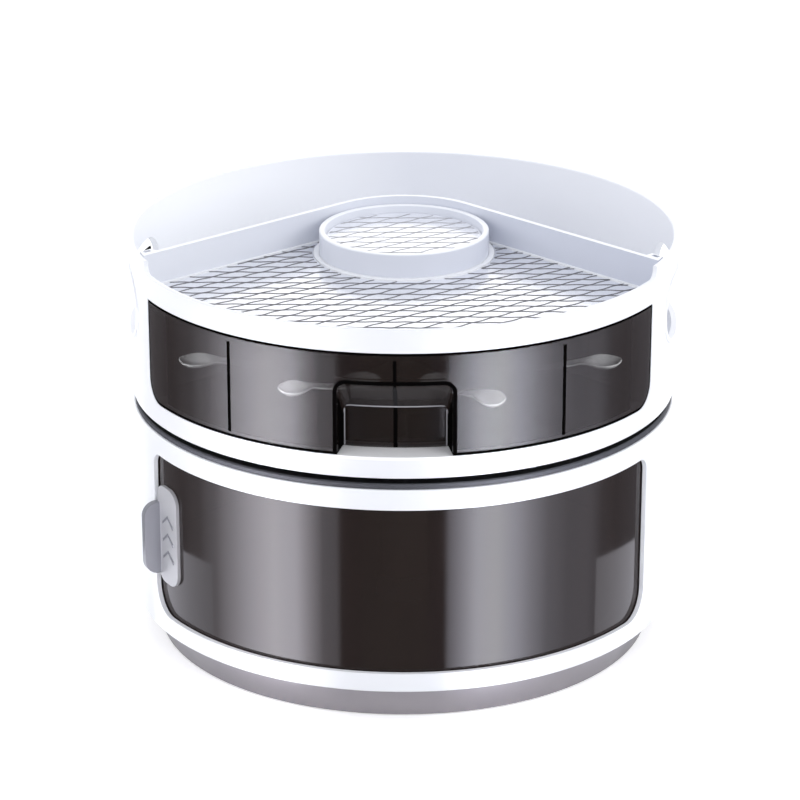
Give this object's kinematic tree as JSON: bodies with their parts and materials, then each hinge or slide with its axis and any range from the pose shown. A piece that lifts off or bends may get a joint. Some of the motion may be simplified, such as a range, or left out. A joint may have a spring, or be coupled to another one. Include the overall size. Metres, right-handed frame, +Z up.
{
  "type": "rotating kitchen organizer",
  "caption": "Round two-tier turntable organizer for condiments: smoked drawer with spoons over a closed compartment with a rotary door, and a mat-lined wedge tray with a raised round dish on top.",
  "frame": {"origin": "on the table plane, on the vertical turning axis", "axes": "+Z up along the turning axis, -Y out through the drawer and the door window, +X to the viewer's right"},
  "size_m": [0.3116, 0.31, 0.2364],
  "materials": {
    "white_abs": "glossy",
    "smoked_clear": "glossy smoked transparent plastic",
    "smoked_ring": "glossy",
    "base_grey": "translucent grey, satin",
    "handle_grey": "satin",
    "clear_spoon": "clear",
    "mesh_mat": "silver with a raised dark diamond mesh",
    "foot_rubber": "matte",
    "bearing_steel": "rolled",
    "ball_steel": "polished",
    "screw_steel": "zinc plated",
    "slide_pom": "waxy"
  },
  "bodies": {
    "base": {"base_shell": "base_grey", "rubber_feet": "foot_rubber", "base_race": "bearing_steel", "spindle": "bearing_steel", "spindle_washer": "screw_steel", "spindle_screw": "screw_steel"},
    "ball_ring": {"ball_cage": "slide_pom", "bearing_balls": "ball_steel"},
    "lower_tier": {"lower_pan": "white_abs", "pan_race": "bearing_steel", "lower_casing": "white_abs", "centre_column": "white_abs", "tier_deck": "white_abs", "tier_ring": "smoked_ring", "ring_screws": "screw_steel", "tier_glides": "slide_pom"},
    "door": {"rotary_door": "smoked_clear", "door_glides": "slide_pom", "door_handle": "handle_grey", "handle_screws": "screw_steel"},
    "upper_tier": {"upper_floor": "white_abs", "casing_screws": "screw_steel", "upper_casing": "white_abs", "bay_wall": "white_abs", "wedge_tray": "white_abs", "tray_screws": "screw_steel", "tray_mat": "mesh_mat", "round_dish": "white_abs", "dish_mat": "mesh_mat", "hub_keeper": "slide_pom", "hub_screw": "screw_steel", "drawer_rails": "white_abs"},
    "drawer": {"drawer_tray": "smoked_clear", "drawer_clips": "slide_pom", "divider_left": "smoked_clear", "divider_centre": "smoked_clear", "divider_right": "smoked_clear", "spoon_outer_left": "clear_spoon", "spoon_inner_left": "clear_spoon", "spoon_inner_right": "clear_spoon", "spoon_outer_right": "clear_spoon"}
  },
  "joints": [
    {"name": "turntable_spin", "type": "hinge", "parent": "base", "child": "lower_tier", "pos_m": [0, 0, 0.01], "axis": [0, 0, 1], "continuous": true},
    {"name": "cage_creep", "type": "hinge", "parent": "base", "child": "ball_ring", "pos_m": [0, 0, 0.007], "axis": [0, 0, 1], "continuous": true},
    {"name": "door_turn", "type": "hinge", "parent": "lower_tier", "child": "door", "pos_m": [0, 0, 0.08], "axis": [0, 0, 1], "range_deg": [0, 112]},
    {"name": "tier_spin", "type": "hinge", "parent": "lower_tier", "child": "upper_tier", "pos_m": [0, 0, 0.144], "axis": [0, 0, 1], "continuous": true},
    {"name": "drawer_slide", "type": "slide", "parent": "upper_tier", "child": "drawer", "axis": [0, -1, 0], "range_m": [0, 0.118]}
  ],
  "couplings": [
    {"joint": "cage_creep", "follows": "turntable_spin", "ratio": 0.5}
  ]
}
